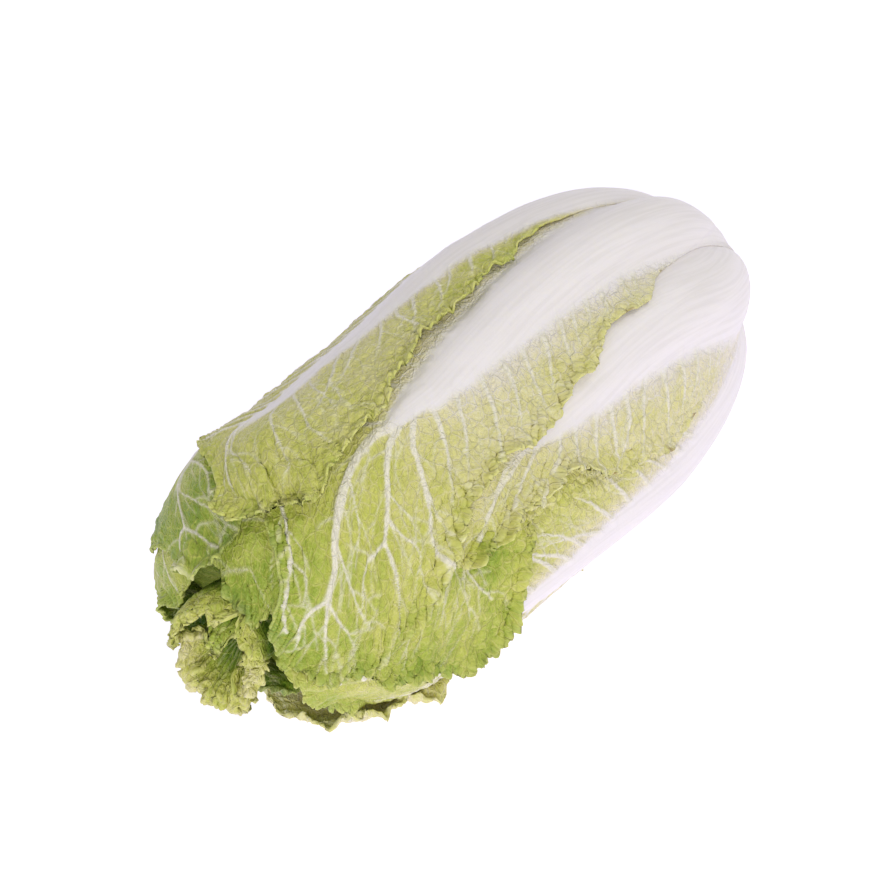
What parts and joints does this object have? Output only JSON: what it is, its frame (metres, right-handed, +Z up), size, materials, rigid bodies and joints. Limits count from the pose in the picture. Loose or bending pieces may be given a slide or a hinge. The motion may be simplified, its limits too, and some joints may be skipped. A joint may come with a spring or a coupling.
{
  "type": "napa cabbage",
  "caption": "Oblong head of wrapped leaves with broad white midribs, veined yellow-green blades, frilled margins and a cut stump, lying on its side.",
  "frame": {"origin": "on the surface it lies on, under the middle of the head", "axes": "+X along the head towards the cut stump, -X towards the leaf tips, +Z up"},
  "size_m": [0.3182, 0.1548, 0.1513],
  "materials": {
    "stump": "cut flesh, pale, drying at its rim",
    "heart": "pale yellow tight inner leaves",
    "leaf_tip_curled": "fresh green crinkled blade",
    "leaf_narrow_inner": "pale green blade with a white vein",
    "leaf_underside_far": "white midrib, yellow-green blade",
    "leaf_right_lower": "white midrib, pale translucent blade",
    "leaf_right_tip": "yellow-green blade",
    "leaf_back_lower": "grey-green blade with white veins",
    "leaf_back_upper": "grey-green blade with white veins",
    "leaf_right_upper": "broad white midrib, cream frilled blade",
    "leaf_top": "broad white midrib, yellow-green blade",
    "leaf_left": "white midrib, green blade",
    "leaf_underside_flopped": "white midrib, yellow-green blade"
  },
  "bodies": {
    "root": {"stump": "stump", "heart": "heart", "leaf_tip_curled": "leaf_tip_curled", "leaf_narrow_inner": "leaf_narrow_inner", "leaf_underside_far": "leaf_underside_far", "leaf_right_lower": "leaf_right_lower", "leaf_right_tip": "leaf_right_tip", "leaf_back_lower": "leaf_back_lower", "leaf_back_upper": "leaf_back_upper", "leaf_right_upper": "leaf_right_upper", "leaf_top": "leaf_top", "leaf_left": "leaf_left", "leaf_underside_flopped": "leaf_underside_flopped"}
  },
  "joints": []
}
